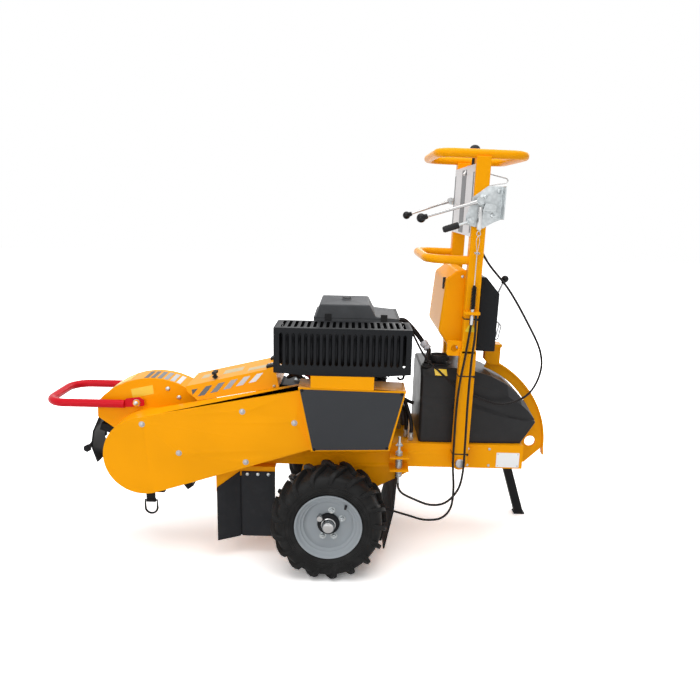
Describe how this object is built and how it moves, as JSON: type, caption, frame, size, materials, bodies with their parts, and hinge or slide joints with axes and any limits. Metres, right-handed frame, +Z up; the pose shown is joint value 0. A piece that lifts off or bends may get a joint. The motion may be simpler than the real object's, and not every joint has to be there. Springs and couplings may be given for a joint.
{
  "type": "stump grinder",
  "caption": "Walk-behind stump grinder with a belt-driven toothed cutting disc, two driven wheels, a parking leg and a tilting handle mast.",
  "frame": {"origin": "centre of the footprint box at ground level", "axes": "+X towards the operator and the handle mast, +Y away from the belt side, +Z up"},
  "size_m": [1.8845, 0.776, 1.4997],
  "materials": {
    "yellow_paint": "gloss powder coat",
    "red_paint": "gloss powder coat",
    "black_plastic": "moulded",
    "black_steel": "satin black",
    "rubber": "matt",
    "tyre": "matt",
    "rim_paint": "satin",
    "chrome": "polished",
    "zinc_plate": "zinc plated",
    "cast_metal": "as cast",
    "alloy": "as cast",
    "silver_sheet": "satin sheet"
  },
  "bodies": {
    "chassis": {"air_filter_cover": "black_plastic", "axle_carrier": "yellow_paint", "battery": "black_plastic", "belt_case": "yellow_paint", "belt_cover": "yellow_paint", "brake_cable_front": "black_plastic", "brake_cable_rear": "black_plastic", "brake_spring_rod": "zinc_plate", "chip_flap_front": "rubber", "chip_flap_rear": "rubber", "cutter_hood": "yellow_paint", "drive_belt": "rubber", "drive_cover": "yellow_paint", "engine_block": "alloy", "fan_shroud": "black_plastic", "flap_hanger": "yellow_paint", "fuel_tank": "black_plastic", "hydraulic_pump": "cast_metal", "main_frame": "yellow_paint", "mud_flap": "rubber", "muffler": "black_steel", "muffler_guard": "black_steel", "quadrant_plate": "yellow_paint", "shaft_bearing": "cast_metal", "side_panel": "black_plastic", "throttle_cable": "black_plastic", "tie_strap": "black_plastic", "wheel_motor_far": "black_steel", "wheel_motor_near": "black_steel", "wiring_loom": "black_plastic"},
    "wheel_near": {"tyre_near": "tyre", "rim_near": "rim_paint"},
    "wheel_far": {"tyre_far": "tyre", "rim_far": "rim_paint"},
    "lock_near": {"hub_lock_pin_near": "chrome"},
    "lock_far": {"hub_lock_pin_far": "chrome"},
    "cutter": {"cutter_disc": "black_steel", "cutter_shaft": "cast_metal", "driven_pulley": "cast_metal"},
    "engine_output": {"drive_pulley": "cast_metal"},
    "idler": {"idler_pulley": "cast_metal"},
    "mast": {"mast_frame": "yellow_paint", "console": "yellow_paint", "control_box": "black_plastic", "instrument_panel": "silver_sheet", "lever_bracket": "zinc_plate", "lever_spring_rod": "chrome"},
    "near_lever": {"control_lever_near": "chrome"},
    "far_lever": {"control_lever_far": "chrome"},
    "grip": {"grip_lever": "black_plastic"},
    "lock_lever": {"tilt_lock_lever": "chrome"},
    "plunger": {"lock_plunger": "chrome"},
    "stop": {"stop_button": "black_plastic"},
    "handle": {"front_handle": "red_paint"},
    "curtain": {"front_curtain": "black_steel"},
    "ring": {"d_ring": "black_steel"},
    "leg": {"support_leg": "black_steel"},
    "lid": {"service_lid": "yellow_paint"},
    "latch": {"lid_latch": "black_plastic"},
    "cap": {"filler_cap": "black_plastic"}
  },
  "joints": [
    {"name": "wheel_near_spin", "type": "hinge", "parent": "chassis", "child": "wheel_near", "pos_m": [0.1175, -0.31, 0.203], "axis": [0, 1, 0], "continuous": true},
    {"name": "wheel_far_spin", "type": "hinge", "parent": "chassis", "child": "wheel_far", "pos_m": [0.1175, 0.31, 0.203], "axis": [0, 1, 0], "continuous": true},
    {"name": "hub_lock_near", "type": "slide", "parent": "wheel_near", "child": "lock_near", "axis": [0, -1, 0], "range_m": [0, 0.012]},
    {"name": "hub_lock_far", "type": "slide", "parent": "wheel_far", "child": "lock_far", "axis": [0, 1, 0], "range_m": [0, 0.012]},
    {"name": "cutter_spin", "type": "hinge", "parent": "chassis", "child": "cutter", "pos_m": [-0.5425, 0, 0.388], "axis": [0, 1, 0], "continuous": true},
    {"name": "engine_spin", "type": "hinge", "parent": "chassis", "child": "engine_output", "pos_m": [0.1775, 0, 0.56], "axis": [0, 1, 0], "continuous": true},
    {"name": "idler_spin", "type": "hinge", "parent": "chassis", "child": "idler", "pos_m": [-0.11594, 0, 0.58581], "axis": [0, 1, 0], "continuous": true},
    {"name": "mast_tilt", "type": "hinge", "parent": "chassis", "child": "mast", "pos_m": [0.5805, 0, 0.387], "axis": [0, 1, 0], "range_deg": [0, 50], "deforming": ["throttle_cable", "brake_cable_front", "brake_cable_rear"]},
    {"name": "near_lever_tilt", "type": "hinge", "parent": "mast", "child": "near_lever", "pos_m": [0.59151, -0.246, 1.30396], "axis": [0, 1, 0], "range_deg": [-10, 30]},
    {"name": "far_lever_tilt", "type": "hinge", "parent": "mast", "child": "far_lever", "pos_m": [0.56211, 0.233, 1.30452], "axis": [0, 1, 0], "range_deg": [-20, 30]},
    {"name": "grip_squeeze", "type": "hinge", "parent": "mast", "child": "grip", "pos_m": [0.56282, -0.246, 1.2375], "axis": [0, 1, 0], "range_deg": [0, 12], "stiffness_Nm_per_rad": 2, "springref_deg": -17.19},
    {"name": "tilt_lock_pull", "type": "hinge", "parent": "mast", "child": "lock_lever", "pos_m": [0.709, 0, 0.93263], "axis": [0, 1, 0], "range_deg": [0, 25], "stiffness_Nm_per_rad": 2, "springref_deg": -22.92},
    {"name": "lock_plunger_slide", "type": "slide", "parent": "mast", "child": "plunger", "axis": [0.0192, 0, 0.9998], "range_m": [0, 0.012]},
    {"name": "stop_press", "type": "slide", "parent": "mast", "child": "stop", "axis": [-0.0192, 0, -0.9998], "range_m": [0, 0.006], "stiffness_N_per_m": 800, "springref_m": -0.002},
    {"name": "front_handle_fold", "type": "hinge", "parent": "chassis", "child": "handle", "pos_m": [-0.5925, 0, 0.562], "axis": [0, 1, 0], "range_deg": [0, 95]},
    {"name": "curtain_swing", "type": "hinge", "parent": "chassis", "child": "curtain", "pos_m": [-0.7355, 0, 0.507], "axis": [0, 1, 0], "range_deg": [0, 60]},
    {"name": "ring_swing", "type": "hinge", "parent": "chassis", "child": "ring", "pos_m": [-0.6045, 0.004, 0.108], "axis": [1, 0, 0], "range_deg": [-75, 75]},
    {"name": "leg_fold", "type": "hinge", "parent": "chassis", "child": "leg", "pos_m": [0.8075, 0.196, 0.362], "axis": [0, 1, 0], "range_deg": [0, 100]},
    {"name": "lid_lift", "type": "hinge", "parent": "chassis", "child": "lid", "pos_m": [-0.0875, 0, 0.708], "axis": [0, 1, 0], "range_deg": [0, 70]},
    {"name": "latch_turn", "type": "hinge", "parent": "lid", "child": "latch", "pos_m": [-0.3075, -0.138, 0.65518], "axis": [0, 0, 1], "range_deg": [0, 90]},
    {"name": "cap_twist", "type": "hinge", "parent": "chassis", "child": "cap", "pos_m": [0.5095, -0.045, 0.712], "axis": [0, 0, 1], "range_deg": [0, 120]}
  ],
  "couplings": [
    {"joint": "engine_spin", "follows": "cutter_spin", "ratio": 1.2727},
    {"joint": "idler_spin", "follows": "cutter_spin", "ratio": -3.1818},
    {"joint": "lock_plunger_slide", "follows": "tilt_lock_pull", "m_per_rad": 0.0275}
  ]
}
